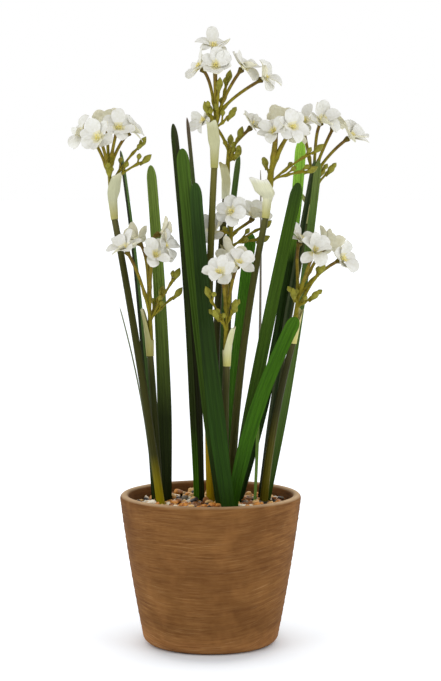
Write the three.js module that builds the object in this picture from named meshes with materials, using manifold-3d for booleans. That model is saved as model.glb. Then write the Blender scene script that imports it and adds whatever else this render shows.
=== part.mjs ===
// Potted paperwhite narcissus: an artificial plant of nine flower stems and fifteen strap
// leaves, standing in the gravel of a brown clay pot. Millimetres, +Z up. The origin is the
// centre of the pot's underside, and -Y is the front. Compass angles turn from +X (right)
// through +Y (back).

import * as THREE from "three";
import { mergeVertices } from "three/addons/utils/BufferGeometryUtils.js";
import Module from "manifold-3d";

const wasm = await Module();
wasm.setup();

// Clearance between pieces that touch
const GAP = 0.3;

// Pot: a straight cone with a slight belly, a round lip and a round lower edge
const POT = {
  height: 121,
  rimRadius: 73,
  footRadius: 53.6,
  belly: 1.2,
  wall: 7,
  floor: 9,
  lowerEdge: 8,
  sides: 36,
  edgeSteps: 3,
  lipSteps: 6,
  wallSteps: 4,
};

// Filling and gravel: the gravel is one crust of pebbles on the filling
const FILLING_TOP = 106;
const GROUND = 112;
const PEBBLE = { count: 72, radius: 5.2, spread: 0.3, flatness: 0.7, sink: 0.35, footRoom: 8.4 };

// Flower stems: foot on the gravel, tip under the spathe, sideways bow at half height, and the
// compass angle, lean, length and width of the bract on one side of the spathe's mouth
const STEM = { footRadius: 3.3, tipRadius: 2.5, sides: 7, steps: 7 };
const STEMS = {
  far_left: { foot: [-40, -9], tip: [-76.8, 2, 342], bow: [3, 0], bract: [-50, 6, 16, 11] },
  left_low: { foot: [-41.5, 0], tip: [-48.7, 5, 232], bow: [1, 0], bract: [175, 4, 18, 8] },
  tall: { foot: [0, 5], tip: [3, -8, 383], bow: [-6, 0], bract: [-115, 8, 17, 10] },
  tall_behind: { foot: [5, 22], tip: [12, 30, 358], bow: [-8, 0], bract: [-130, 6, 9, 8] },
  middle_behind: { foot: [9, 14], tip: [15, 16, 291], bow: [0, 0], bract: [150, 10, 10, 8] },
  middle_low: { foot: [12, -13], tip: [13, -18, 226], bow: [-2, 0], bract: [-15, 4, 11, 8] },
  right_tall: { foot: [16, 0], tip: [44, 2, 343], bow: [-10, 0], bract: [-125, 46, 13, 16] },
  right_low: { foot: [43, 6], tip: [66, -3, 243], bow: [-6, 0], bract: [50, 12, 8, 8] },
  right_back: { foot: [42.5, 24], tip: [78.5, 30, 338], bow: [-6, 0], bract: [170, 25, 8, 8] },
};

// Strap leaves: foot, tip, bow, width at the foot end and the tip end of the blade, and the
// compass angle that the blade faces at its foot and at its tip. A blade's thickness is a share
// of its length.
const LEAF = {
  thicknessShare: 0.0105,
  tipShare: 0.45,
  tipWidth: 0.9,
  footShare: 0.7,
  footEnd: 0.3,
  pointStart: 0.955,
  crowding: 2,
  sides: 6,
  steps: 9,
};
const LEAVES = {
  left_broad: { foot: [-36, 8], tip: [-49, 36, 385], bow: [5, 4], width: [13, 8], turn: [-90, -80] },
  left_narrow: { foot: [-46, 9], tip: [-73.5, 36, 397], bow: [6, 8], width: [7, 6], turn: [-55, -25] },
  left_wisp: { foot: [-46, -3], tip: [-73, 4, 271], bow: [9, 0], width: [1.6, 1.2], turn: [-60, -60] },
  dark: { foot: [-9.5, 15], tip: [-30, 8, 418], bow: [6, 0], width: [13, 6.5], turn: [-75, -60] },
  green: { foot: [8, -21], tip: [-22.5, -6, 398], bow: [-3, 0], width: [10, 10.5], turn: [-90, -95] },
  spike: { foot: [-1, 32], tip: [-19, 14, 423], bow: [7, 0], width: [5, 4], turn: [-45, -45] },
  front_broad: { foot: [14.5, -36], tip: [-12, -10, 371], bow: [-5.5, 0], width: [15.5, 9.5], turn: [-90, -90] },
  front_bright: { foot: [17.5, -26], tip: [68, -24, 265], bow: [-14, 0], width: [12, 11], turn: [-100, -80] },
  right_arch: { foot: [18, -8], tip: [69.5, -15, 371], bow: [-3, 0], width: [10.5, 10], turn: [-90, -75] },
  right_lime: { foot: [23, 12], tip: [73, 24, 406], bow: [17, 5], width: [8.5, 9.5], turn: [-70, -75] },
  right_outer: { foot: [46, 14], tip: [87, 17, 389], bow: [6, 0], width: [8, 6.5], turn: [-60, -70] },
  right_inner: { foot: [39.5, 15], tip: [84, 21, 389], bow: [-4, 2], width: [6, 5], turn: [-50, -60] },
  right_wisp: { foot: [35.5, -2], tip: [40.8, 44, 381], bow: [4, 0], width: [4, 1.2], turn: [-60, -60] },
  middle_narrow: { foot: [4, 32], tip: [23, 42, 394], bow: [-9, 0], width: [7, 5.5], turn: [-50, -60] },
  middle_broad: { foot: [14, 5], tip: [33, 24, 330], bow: [-6, -5], width: [10, 9.5], turn: [-90, -80] },
};

// Spathe: the papery sleeve on a stem's tip, with a bract that stands on one side of its mouth
const SPATHE = {
  length: 20,
  footRadius: 2.8,
  mouthRadius: 3.6,
  bractThickness: 1.3,
  bractSink: 6,
};

// Flower heads: each bloom has a compass angle, a lean from upright and a reach from the mouth of
// the spathe to its throat, then the compass angle and lean that it faces; each bud twig has the
// first three
const HEADS = {
  far_left: {
    blooms: [
      [-114, 29, 51, -112, 62], [-176, 27, 54, -145, 72], [-65, 18, 55, -75, 68],
      [0, 20, 55, 0, 48], [110, 13, 59, 100, 40],
    ],
    twigs: [[0, 32, 53], [-8, 47, 45], [-100, 22, 24]],
  },
  left_low: {
    blooms: [
      [-128, 26, 76, -150, 35], [150, 11, 75, 140, 50], [-77, 23, 67, -70, 72],
      [-50, 17, 72, -20, 65], [-28, 10, 80, 20, 72],
    ],
    twigs: [[-12, 26, 56], [0, 37, 43], [60, 30, 40]],
  },
  tall: {
    blooms: [
      [104, 4, 77, -90, 30], [-89, 19, 63, -88, 62], [-164, 14, 62, -150, 50],
      [-20, 23, 65, -40, 48], [-10, 39, 65, -35, 65],
    ],
    twigs: [[-70, 12, 51], [26, 13, 58], [-145, 19, 33], [-14, 32, 31], [110, 30, 35]],
  },
  tall_behind: {
    blooms: [[-26, 32, 47, -30, 50], [-151, 29, 49, -150, 75]],
    twigs: [[-28, 20, 40], [-22, 30, 24], [80, 28, 36]],
  },
  middle_behind: {
    blooms: [[-89, 23, 40, -88, 68], [12, 31, 40, -45, 42], [-160, 36, 28, -110, 60]],
    twigs: [[-2, 49, 44], [-8, 63, 36], [90, 33, 34]],
  },
  middle_low: {
    blooms: [[-104, 22, 60, -105, 60], [-53, 16, 65, -60, 45], [67, 10, 70, 60, 40]],
    twigs: [[-140, 26, 48], [-120, 38, 32], [-45, 19, 35]],
  },
  right_tall: {
    blooms: [[-80, 18, 51, -110, 58], [45, 13, 59, 60, 40], [-44, 27, 58, -75, 70], [10, 24, 52, 30, 60]],
    twigs: [[3, 49, 58], [-3, 63, 44], [100, 35, 34]],
  },
  right_low: {
    blooms: [[44, 6, 64, -60, 35], [-51, 24, 60, -70, 52], [-8, 40, 62, -35, 70], [20, 25, 65, 50, 50]],
    twigs: [[-18, 29, 50], [-25, 43, 30], [-105, 22, 26]],
  },
  right_back: {
    blooms: [[110, 14, 66, -90, 45], [-44, 12, 65, -60, 55], [-7, 34, 61, -30, 60], [23, 20, 64, 60, 50]],
    twigs: [[-20, 36, 34], [60, 42, 34]],
  },
};
// The head's own short stem, from which stalks fork off one above another
const HEAD_STEM = { length: 18, radius: 1.9, taper: 0.3, sides: 5, offset: 1.1, forks: [0.25, 0.95] };
// How far a stalk runs upright before it turns outward, and along its end before the flower,
// as shares of its reach
const STALK = { rise: 0.35, approach: 0.25 };

// Bloom: a star of six tepals, two shoulders each with a notch between neighbours, on a nodding
// stalk that widens into the flower's calyx. Every other tepal is lifted higher.
const BLOOM = {
  tepals: 6,
  radius: 13.8,
  shoulderAngle: 17,
  notch: 0.66,
  thickness: 1.2,
  lifts: [24, 10],
  stalkRadius: 1,
  calyxRadius: 1.9,
  sizeSpread: 0.06,
};

// Bud twig: a thin stalk with a bud at its end and smaller side buds from a seeded rule
const BUD = {
  length: 8,
  radius: 2.4,
  sink: 0.3,
  stalkRadius: 0.8,
  sideCount: 2,
  sideLength: 11,
  sideRadius: 1.9,
  sidePlay: 0.4,
  sideSwing: 150,
  sideLean: 40,
};
const SEED = 4127;

const COLOURS = {
  clay: 0x825a34,
  filling: 0x4a3a2a,
  gravel: 0x8c6f50,
  stem: 0x4f5228,
  leaf: 0x3a6a22,
  spathe: 0xc9cc9a,
  flower: 0xebe9df,
};

// Repeatable dice: the same seed always deals the same numbers from 0 to 1
function dice(seed) {
  const factor = 16807;
  const modulus = 2147483647;
  let state = seed;
  return () => {
    state = (state * factor) % modulus;
    return state / modulus;
  };
}

// Unit vector at a compass angle and a lean from upright, both in degrees
function direction(swing, lean) {
  const a = THREE.MathUtils.degToRad(swing);
  const b = THREE.MathUtils.degToRad(lean);
  return new THREE.Vector3(Math.sin(b) * Math.cos(a), Math.sin(b) * Math.sin(a), Math.cos(b));
}

// A curve from one point to another whose middle is pushed aside by a bow
function bowed(from, to, bow) {
  const middle = from.clone().lerp(to, 0.5);
  return new THREE.QuadraticBezierCurve3(from, middle.add(bow), to);
}

// Keep only the positions of a geometry and merge its shared corners
function weld(geometry) {
  geometry.deleteAttribute("normal");
  geometry.deleteAttribute("uv");
  return mergeVertices(geometry);
}

// A closed bar bent onto a curve. width(t) and thickness(t) are its section at a share t of the
// length, turn(t) is the compass angle that its flat side faces, and spacing(t) can crowd
// the rings toward an end
function bar(curve, { sides, steps, width, thickness = width, turn = () => -90, spacing = (t) => t }) {
  const geometry = weld(new THREE.CylinderGeometry(0.5, 0.5, 1, sides, steps));
  const points = geometry.getAttribute("position");
  for (let i = 0; i < points.count; i += 1) {
    const t = spacing(points.getY(i) + 0.5);
    const tangent = curve.getTangent(t);
    const side = tangent.clone().cross(direction(turn(t), 90)).normalize();
    const face = side.clone().cross(tangent);
    const place = curve.getPoint(t);
    place.addScaledVector(side, points.getX(i) * width(t));
    place.addScaledVector(face, points.getZ(i) * thickness(t));
    points.setXYZ(i, place.x, place.y, place.z);
  }
  return geometry;
}

// Slide the points of a limb's foot along the limb until they lie on one level
function cutFlat(geometry, curve, level) {
  const points = geometry.getAttribute("position");
  const start = curve.getPoint(0);
  const tangent = curve.getTangent(0);
  for (let i = 0; i < points.count; i += 1) {
    const place = new THREE.Vector3().fromBufferAttribute(points, i);
    const onFoot = Math.abs(place.clone().sub(start).dot(tangent)) < 1e-3;
    if (onFoot) {
      place.addScaledVector(tangent, (level - place.z) / tangent.z);
      points.setXYZ(i, place.x, place.y, place.z);
    }
  }
  return geometry;
}

function toSolid(geometry) {
  const position = geometry.getAttribute("position");
  return new wasm.Manifold(new wasm.Mesh({
    numProp: 3,
    vertProperties: new Float32Array(position.array),
    triVerts: new Uint32Array(geometry.index.array),
  }));
}

// Join pieces into one body: the largest shell is kept, so loose scraps are dropped and
// sealed hollows are filled
function fuse(geometries) {
  const joined = wasm.Manifold.union(geometries.map(toSolid));
  const shells = joined.decompose();
  shells.sort((a, b) => b.volume() - a.volume());
  const mesh = shells[0].getMesh();
  const geometry = new THREE.BufferGeometry();
  geometry.setAttribute("position", new THREE.BufferAttribute(mesh.vertProperties, 3));
  geometry.setIndex(new THREE.BufferAttribute(mesh.triVerts, 1));
  return geometry;
}

// Outer radius of the pot's wall at a height
function wallRadius(z) {
  const share = z / (POT.height - POT.wall / 2);
  const straight = POT.footRadius + (POT.rimRadius - POT.footRadius) * share;
  return straight + POT.belly * 4 * share * (1 - share);
}

function innerRadius(z) {
  return wallRadius(z) - POT.wall;
}

// Points of an arc of a profile, in degrees from the outward direction
function arc(centreRadius, centreHeight, radius, from, to, count) {
  const points = [];
  for (let i = 0; i <= count; i += 1) {
    const angle = THREE.MathUtils.degToRad(from + ((to - from) * i) / count);
    points.push([centreRadius + radius * Math.cos(angle), centreHeight + radius * Math.sin(angle)]);
  }
  return points;
}

// Turn a profile of [radius, height] points round the upright axis
function lathe(profile) {
  const points = profile.map(([radius, height]) => new THREE.Vector2(radius, height));
  const geometry = new THREE.LatheGeometry(points, POT.sides);
  geometry.rotateX(Math.PI / 2);
  return weld(geometry);
}

function pot() {
  const lip = POT.wall / 2;
  const lipHeight = POT.height - lip;
  const edge = POT.lowerEdge;
  const wallLevels = [];
  for (let i = 1; i < POT.wallSteps; i += 1) {
    wallLevels.push((lipHeight * i) / POT.wallSteps);
  }
  return lathe([
    [0, 0],
    ...arc(wallRadius(edge) - edge, edge, edge, -90, 0, POT.edgeSteps),
    ...wallLevels.map((z) => [wallRadius(z), z]),
    ...arc(POT.rimRadius - lip, lipHeight, lip, 0, 180, POT.lipSteps),
    [innerRadius(POT.floor), POT.floor],
    [0, POT.floor],
  ]);
}

function filling() {
  const bottom = POT.floor + GAP;
  return lathe([
    [0, bottom],
    [innerRadius(bottom) - 2 * GAP, bottom],
    [innerRadius(FILLING_TOP) - 2 * GAP, FILLING_TOP],
    [0, FILLING_TOP],
  ]);
}

// Gravel: a crust with pebbles sunk in it along a sunflower spiral, left bare at each foot
function gravel() {
  const roll = dice(SEED);
  const goldenAngle = Math.PI * (3 - Math.sqrt(5));
  const bottom = FILLING_TOP + GAP;
  const edge = innerRadius(bottom) - 2 * GAP;
  const crust = lathe([[0, bottom], [edge, bottom], [edge, GROUND], [0, GROUND]]);
  const limbs = [...Object.values(STEMS), ...Object.values(LEAVES)];
  const feet = limbs.map(({ foot }) => new THREE.Vector2(...foot));
  const pebbles = [];
  for (let i = 0; i < PEBBLE.count; i += 1) {
    const size = PEBBLE.radius * (1 + PEBBLE.spread * (2 * roll() - 1));
    const spin = new THREE.Euler(roll(), roll(), 2 * Math.PI * roll());
    const reach = (edge - PEBBLE.radius) * Math.sqrt((i + 0.5) / PEBBLE.count);
    const place = new THREE.Vector2(reach, 0).rotateAround(new THREE.Vector2(), i * goldenAngle);
    if (feet.some((foot) => foot.distanceTo(place) < PEBBLE.footRoom)) {
      continue;
    }
    const pebble = weld(new THREE.OctahedronGeometry(size, 0));
    pebble.applyMatrix4(new THREE.Matrix4().makeRotationFromEuler(spin));
    pebble.scale(1, 1, PEBBLE.flatness);
    pebble.translate(place.x, place.y, GROUND + PEBBLE.sink * size);
    pebbles.push(pebble);
  }
  return fuse([crust, ...pebbles]);
}

// The curve of a stem or leaf from its foot on the gravel to its tip
function limbCurve({ foot, tip, bow }) {
  const from = new THREE.Vector3(foot[0], foot[1], GROUND + GAP);
  return bowed(from, new THREE.Vector3(...tip), new THREE.Vector3(bow[0], bow[1], 0));
}

function stem(limb) {
  const curve = limbCurve(limb);
  const width = (t) => 2 * THREE.MathUtils.lerp(STEM.footRadius, STEM.tipRadius, t);
  return cutFlat(bar(curve, { ...STEM, width }), curve, GROUND + GAP);
}

// A strap leaf: narrow at the foot, broad along the blade, then a blunt point
function leaf(limb) {
  const { lerp, smoothstep, clamp } = THREE.MathUtils;
  const curve = limbCurve(limb);
  const past = (t) => clamp((t - LEAF.pointStart) / (1 - LEAF.pointStart), 0, 1);
  const point = (t) => Math.sqrt(1 - past(t) ** 2);
  const foot = (t) => lerp(LEAF.footShare, 1, smoothstep(t, 0, LEAF.footEnd));
  const width = (t) => Math.max(LEAF.tipWidth, lerp(...limb.width, t) * foot(t) * point(t));
  const thickest = LEAF.thicknessShare * curve.getLength();
  const thickness = (t) => thickest * lerp(LEAF.tipShare, 1, point(t));
  const turn = (t) => lerp(...limb.turn, t);
  const spacing = (t) => 1 - (1 - t) ** LEAF.crowding;
  return cutFlat(bar(curve, { ...LEAF, width, thickness, turn, spacing }), curve, GROUND + GAP);
}

// The axis of a stem's spathe: it starts just above the stem's tip and stands more upright
function spatheAxis(limb) {
  const axis = limbCurve(limb).getTangent(1).add(new THREE.Vector3(0, 0, 1)).normalize();
  const from = new THREE.Vector3(...limb.tip).addScaledVector(axis, 2 * GAP);
  return { axis, from, mouth: from.clone().addScaledVector(axis, SPATHE.length) };
}

// Share of a bract's width: a narrow root, broad above the middle, then a blunt end
function bractOutline(t) {
  return 0.35 + 0.9 * Math.sqrt(t) - 0.7 * t ** 4;
}

function spathe(limb) {
  const { axis, from, mouth } = spatheAxis(limb);
  const { lerp } = THREE.MathUtils;
  const sleeve = bar(new THREE.LineCurve3(from, mouth), {
    sides: 7,
    steps: 1,
    width: (t) => 2 * lerp(SPATHE.footRadius, SPATHE.mouthRadius, t),
  });
  const [swing, lean, length, width] = limb.bract;
  const root = mouth.clone().addScaledVector(direction(swing, 90), SPATHE.mouthRadius - SPATHE.bractThickness);
  const end = root.clone().addScaledVector(direction(swing, lean), length);
  root.addScaledVector(axis, -SPATHE.bractSink);
  const bract = bar(new THREE.LineCurve3(root, end), {
    sides: 6,
    steps: 4,
    width: (t) => width * bractOutline(t),
    thickness: (t) => SPATHE.bractThickness * (1 - 0.5 * t),
    turn: () => swing,
  });
  return fuse([sleeve, bract]);
}

// A stalk that leaves the head's stem between upright and outward, and arrives along a facing
function stalkCurve(fork, axis, end, facing) {
  const reach = fork.distanceTo(end);
  const outward = end.clone().sub(fork).normalize();
  const rise = fork.clone().addScaledVector(axis.clone().add(outward).normalize(), reach * STALK.rise);
  const approach = end.clone().addScaledVector(facing, -reach * STALK.approach);
  return new THREE.CubicBezierCurve3(fork, rise, approach, end);
}

// Turn a geometry built round +Z so that +Z points along a direction, after a spin about it
function aim(geometry, facing, spin) {
  const up = new THREE.Vector3(0, 0, 1);
  const turn = new THREE.Quaternion().setFromUnitVectors(up, facing);
  turn.multiply(new THREE.Quaternion().setFromAxisAngle(up, spin));
  return geometry.applyQuaternion(turn);
}

// The tepals as one lifted star, shaped from a flat disc with three rim corners for each tepal
function perianth(size) {
  const { degToRad } = THREE.MathUtils;
  const corners = BLOOM.tepals * 3;
  const step = 360 / BLOOM.tepals;
  const star = weld(new THREE.CylinderGeometry(1, 1, BLOOM.thickness, corners, 1, false, Math.PI / 2));
  star.rotateX(Math.PI / 2);
  const points = star.getAttribute("position");
  for (let i = 0; i < points.count; i += 1) {
    const x = points.getX(i);
    const y = points.getY(i);
    const corner = (Math.round((Math.atan2(y, x) * corners) / (2 * Math.PI)) + corners) % corners;
    const index = Math.floor(corner / 3);
    const lift = BLOOM.lifts[index % 2];
    const notchLift = (BLOOM.lifts[0] + BLOOM.lifts[1]) / 2;
    const [angle, share, slope] = [
      [-BLOOM.shoulderAngle, 1, lift],
      [BLOOM.shoulderAngle, 1, lift],
      [step / 2, BLOOM.notch, notchLift],
    ][corner % 3];
    const reach = Math.round(Math.hypot(x, y)) * share * BLOOM.radius * size;
    const place = degToRad(index * step + angle);
    const height = points.getZ(i) + reach * Math.tan(degToRad(slope));
    points.setXYZ(i, reach * Math.cos(place), reach * Math.sin(place), height);
  }
  return star;
}

// A bloom on its stalk: swing, lean and reach from the hub place its throat
function bloom(hub, fork, axis, [swing, lean, reach, ...face], roll) {
  const throat = hub.clone().addScaledVector(direction(swing, lean), reach);
  const facing = direction(...face);
  const spin = 2 * Math.PI * roll();
  const size = 1 + BLOOM.sizeSpread * (2 * roll() - 1);
  const stalk = bar(stalkCurve(fork, axis, throat, facing), {
    sides: 3,
    steps: 4,
    width: (t) => 2 * THREE.MathUtils.lerp(BLOOM.stalkRadius, BLOOM.calyxRadius, t ** 3),
  });
  const star = aim(perianth(size), facing, spin);
  return [stalk, star.translate(throat.x, throat.y, throat.z)];
}

// A spindle from a foot sunk in a stalk to a tip
function spindle(foot, along, length, radius) {
  const shape = weld(new THREE.OctahedronGeometry(0.5, 0));
  shape.scale(2 * radius, 2 * radius, length);
  const middle = foot.clone().addScaledVector(along, length / 2);
  return aim(shape, along, 0).translate(middle.x, middle.y, middle.z);
}

// A twig with an end bud, and side buds whose places and angles come from the dice
function budTwig(hub, fork, axis, [swing, lean, reach], roll) {
  const outward = direction(swing, lean);
  const end = hub.clone().addScaledVector(outward, reach - BUD.length * (1 - BUD.sink));
  const curve = stalkCurve(fork, axis, end, outward);
  const stalk = bar(curve, { sides: 3, steps: 3, width: () => 2 * BUD.stalkRadius });
  const budFoot = end.clone().addScaledVector(outward, -BUD.length * BUD.sink);
  const pieces = [stalk, spindle(budFoot, outward, BUD.length, BUD.radius)];
  for (let i = 0; i < BUD.sideCount; i += 1) {
    const from = curve.getPoint((i + 1 + BUD.sidePlay * roll()) / (BUD.sideCount + 1));
    const sideSwing = swing + BUD.sideSwing * (roll() - 0.5);
    const toward = direction(sideSwing, lean + BUD.sideLean * (roll() - 0.5));
    pieces.push(spindle(from, toward, BUD.sideLength, BUD.sideRadius));
  }
  return pieces;
}

// A head: its short stem starts just above the spathe's mouth, and bud twigs, then blooms, fork
// off it one above another
function flowerHead(limb, { blooms, twigs }, seed) {
  const roll = dice(seed);
  const { axis, mouth } = spatheAxis(limb);
  const hub = mouth.clone().addScaledVector(axis, GAP);
  hub.addScaledVector(direction(limb.bract[0], 90), -HEAD_STEM.offset);
  const top = hub.clone().addScaledVector(axis, HEAD_STEM.length);
  const width = (t) => 2 * HEAD_STEM.radius * (1 - HEAD_STEM.taper * t);
  const pieces = [bar(new THREE.LineCurve3(hub, top), { sides: HEAD_STEM.sides, steps: 1, width })];
  const last = twigs.length + blooms.length - 1;
  const fork = (i) => hub.clone().lerp(top, THREE.MathUtils.lerp(...HEAD_STEM.forks, i / last));
  twigs.forEach((row, i) => pieces.push(...budTwig(hub, fork(i), axis, row, roll)));
  blooms.forEach((row, i) => pieces.push(...bloom(hub, fork(twigs.length + i), axis, row, roll)));
  return fuse(pieces);
}

const plant = new THREE.Group();

function addNode(name, geometry, color, roughness) {
  const mesh = new THREE.Mesh(geometry, new THREE.MeshStandardMaterial({ color, roughness, metalness: 0 }));
  mesh.name = name;
  plant.add(mesh);
}

addNode("pot", pot(), COLOURS.clay, 0.85);
addNode("filling", filling(), COLOURS.filling, 0.9);
addNode("gravel", gravel(), COLOURS.gravel, 0.6);
Object.entries(STEMS).forEach(([name, limb], index) => {
  addNode(`stem_${name}`, stem(limb), COLOURS.stem, 0.5);
  addNode(`spathe_${name}`, spathe(limb), COLOURS.spathe, 0.7);
  addNode(`flowers_${name}`, flowerHead(limb, HEADS[name], SEED + index + 1), COLOURS.flower, 0.6);
});
Object.entries(LEAVES).forEach(([name, limb]) => {
  addNode(`leaf_${name}`, leaf(limb), COLOURS.leaf, 0.45);
});

export default plant;
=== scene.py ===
"""Looks of a potted paperwhite narcissus: an artificial plant in the gravel of a brown clay pot.

Sizes are in millimetres and are made into metres when a mesh is built. The origin is the centre
of the pot's underside, +Z is up and -Y is the front. Compass angles turn from +X (right) through
+Y (back). Stems, leaves, sleeves and flower heads grow by the same rules and dice as the solids,
carried on to single petals, cups, stamens, buds and ribs.
"""

import math
from types import SimpleNamespace as Sizes

import bmesh
import bpy
import numpy as np
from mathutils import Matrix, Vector

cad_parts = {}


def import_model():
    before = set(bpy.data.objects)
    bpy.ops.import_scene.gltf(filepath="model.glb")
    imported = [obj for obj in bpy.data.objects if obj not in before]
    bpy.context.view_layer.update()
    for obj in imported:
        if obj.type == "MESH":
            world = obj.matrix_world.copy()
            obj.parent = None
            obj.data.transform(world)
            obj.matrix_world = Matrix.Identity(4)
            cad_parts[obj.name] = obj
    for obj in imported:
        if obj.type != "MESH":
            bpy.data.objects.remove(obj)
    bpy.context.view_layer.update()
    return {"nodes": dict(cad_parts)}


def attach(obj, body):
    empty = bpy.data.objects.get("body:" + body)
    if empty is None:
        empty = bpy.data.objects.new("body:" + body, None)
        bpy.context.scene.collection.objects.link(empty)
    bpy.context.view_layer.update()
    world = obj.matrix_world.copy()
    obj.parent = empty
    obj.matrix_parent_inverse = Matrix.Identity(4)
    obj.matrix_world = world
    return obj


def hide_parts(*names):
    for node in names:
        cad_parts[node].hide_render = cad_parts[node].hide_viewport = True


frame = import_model()

MM = 0.001
FULL_TURN = 2 * math.pi
SEED = 4127

# Range of the random starts of waves, in radians
PHASES = (0, 6)


def named(columns, rows):
    """Rows by name, each with a name for every column"""
    return {name: Sizes(**dict(zip(columns.split(), row))) for name, row in rows.items()}


# Gap between solids that touch, and how deep limbs go into the gravel
GAP = 0.3
SUNK = 6.0

# Pot with faint rings on the middle of its outer wall, and what fills it
POT = Sizes(
    height=121, rim=73, foot=53.6, belly=1.2, wall=7, floor=9, lower_edge=8, sides=192,
    ring_depth=0.22, ring_paces=[1.9, 0.83], ring_sways=[2, 1.3], bare_foot=[3, 12],
    bare_lip=[112, 118], bare_inside=[48, 54],
)
FILLING_TOP = 106
GROUND = 112

# Pebbles, with some upper ones on the rest; flats, cut and stretch make a pebble of a ball
PEBBLES = Sizes(
    count=470, upper=110, upper_rise=2.6, radius=3.2, spread=0.34, room=3.2, swing=0.1,
    heights=[-1.2, 0.6], flats=9, flat_depths=[0.55, 0.85], cut=0.85,
    stretch=[[0.95, 0.7, 0.55], [1.3, 1.0, 0.8]], tilt=0.35,
)
STONE_SHARES = {"rust": 0.22, "tan": 0.27, "cream": 0.15, "brown": 0.17, "grey": 0.06, "black": 0.13}
BED = Sizes(shares=[1, 1, 0.7, 0.3], depths=[GROUND - FILLING_TOP - GAP, 2, 1.6, 1.4], sides=96)

# Flower stems: foot on the gravel, tip under the sleeve, sideways bow at half height, and the
# compass angle, lean, length and width of the bract on one side of the sleeve's mouth
STEM = Sizes(foot=3.3, tip=2.5, over=5, ribs=9, rib_depth=0.05, sides=36, rows=48)
STEMS = named("foot tip bow bract", {
    "far_left": ([-40, -9], [-76.8, 2, 342], [3, 0], [-50, 6, 16, 11]),
    "left_low": ([-41.5, 0], [-48.7, 5, 232], [1, 0], [175, 4, 18, 8]),
    "tall": ([0, 5], [3, -8, 383], [-6, 0], [-115, 8, 17, 10]),
    "tall_behind": ([5, 22], [12, 30, 358], [-8, 0], [-130, 6, 9, 8]),
    "middle_behind": ([9, 14], [15, 16, 291], [0, 0], [150, 10, 10, 8]),
    "middle_low": ([12, -13], [13, -18, 226], [-2, 0], [-15, 4, 11, 8]),
    "right_tall": ([16, 0], [44, 2, 343], [-10, 0], [-125, 36, 15, 16]),
    "right_low": ([43, 6], [66, -3, 243], [-6, 0], [50, 12, 8, 8]),
    "right_back": ([42.5, 24], [78.5, 30, 338], [-6, 0], [170, 25, 8, 8]),
})

# Strap leaves: foot, tip, bow, width at the foot end and the tip end of the blade, and the
# compass angle that the blade faces at its foot and at its tip
LEAF = Sizes(
    thickness=0.9, thin_share=0.35, tip_width=0.5, foot_share=0.7, foot_end=0.3, point_start=0.955,
    crowding=1.6, channel=0.24, channel_mid=0.4, ribs=5, rib_depth=0.16, full_ribs=4, wave=0.5,
    wave_paces=[2, 5], rows=80, columns=33,
)
LEAVES = named("foot tip bow width turn", {
    "left_broad": ([-36, 8], [-49, 36, 385], [5, 4], [13, 8], [-90, -80]),
    "left_narrow": ([-46, 9], [-73.5, 36, 397], [6, 8], [7, 6], [-55, -25]),
    "left_wisp": ([-46, -3], [-73, 4, 271], [9, 0], [1.6, 1.2], [-60, -60]),
    "dark": ([-9.5, 15], [-30, 8, 418], [6, 0], [13, 6.5], [-75, -60]),
    "green": ([8, -21], [-22.5, -6, 398], [-3, 0], [10, 10.5], [-90, -95]),
    "spike": ([-1, 32], [-19, 14, 423], [7, 0], [5, 4], [-45, -45]),
    "front_broad": ([14.5, -36], [-12, -10, 371], [-5.5, 0], [15.5, 9.5], [-90, -90]),
    "front_bright": ([17.5, -26], [68, -24, 265], [-14, 0], [12, 11], [-100, -80]),
    "right_arch": ([18, -8], [69.5, -15, 371], [-3, 0], [10.5, 10], [-90, -75]),
    "right_lime": ([23, 12], [73, 24, 406], [17, 5], [8.5, 9.5], [-70, -75]),
    "right_outer": ([46, 14], [87, 17, 389], [6, 0], [8, 6.5], [-60, -70]),
    "right_inner": ([39.5, 15], [84, 21, 389], [-4, 2], [6, 5], [-50, -60]),
    "right_wisp": ([35.5, -2], [40.8, 44, 381], [4, 0], [4, 1.2], [-60, -60]),
    "middle_narrow": ([4, 32], [23, 42, 394], [-9, 0], [7, 5.5], [-50, -60]),
    "middle_broad": ([14, 5], [33, 24, 330], [-6, -5], [10, 9.5], [-90, -80]),
})

# Sleeve on a stem's tip: a funnel whose rim falls over a span of angles from the crest of the bract
# to the low back, and farther round on one sleeve
SPATHE = Sizes(
    length=20, foot=3.0, mouth=4.0, low=13, spread=[15, 23], crest=[55, 122], bend=4, curl=1.5,
    wall=0.4, ripple=0.03, ripples=3, fold=0.22, folds=[4, 7], fold_foot=0.3, fold_lean=0.2,
    sides=72, rows=30,
)
CRESTS = {"right_tall": [90, 140]}

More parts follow.
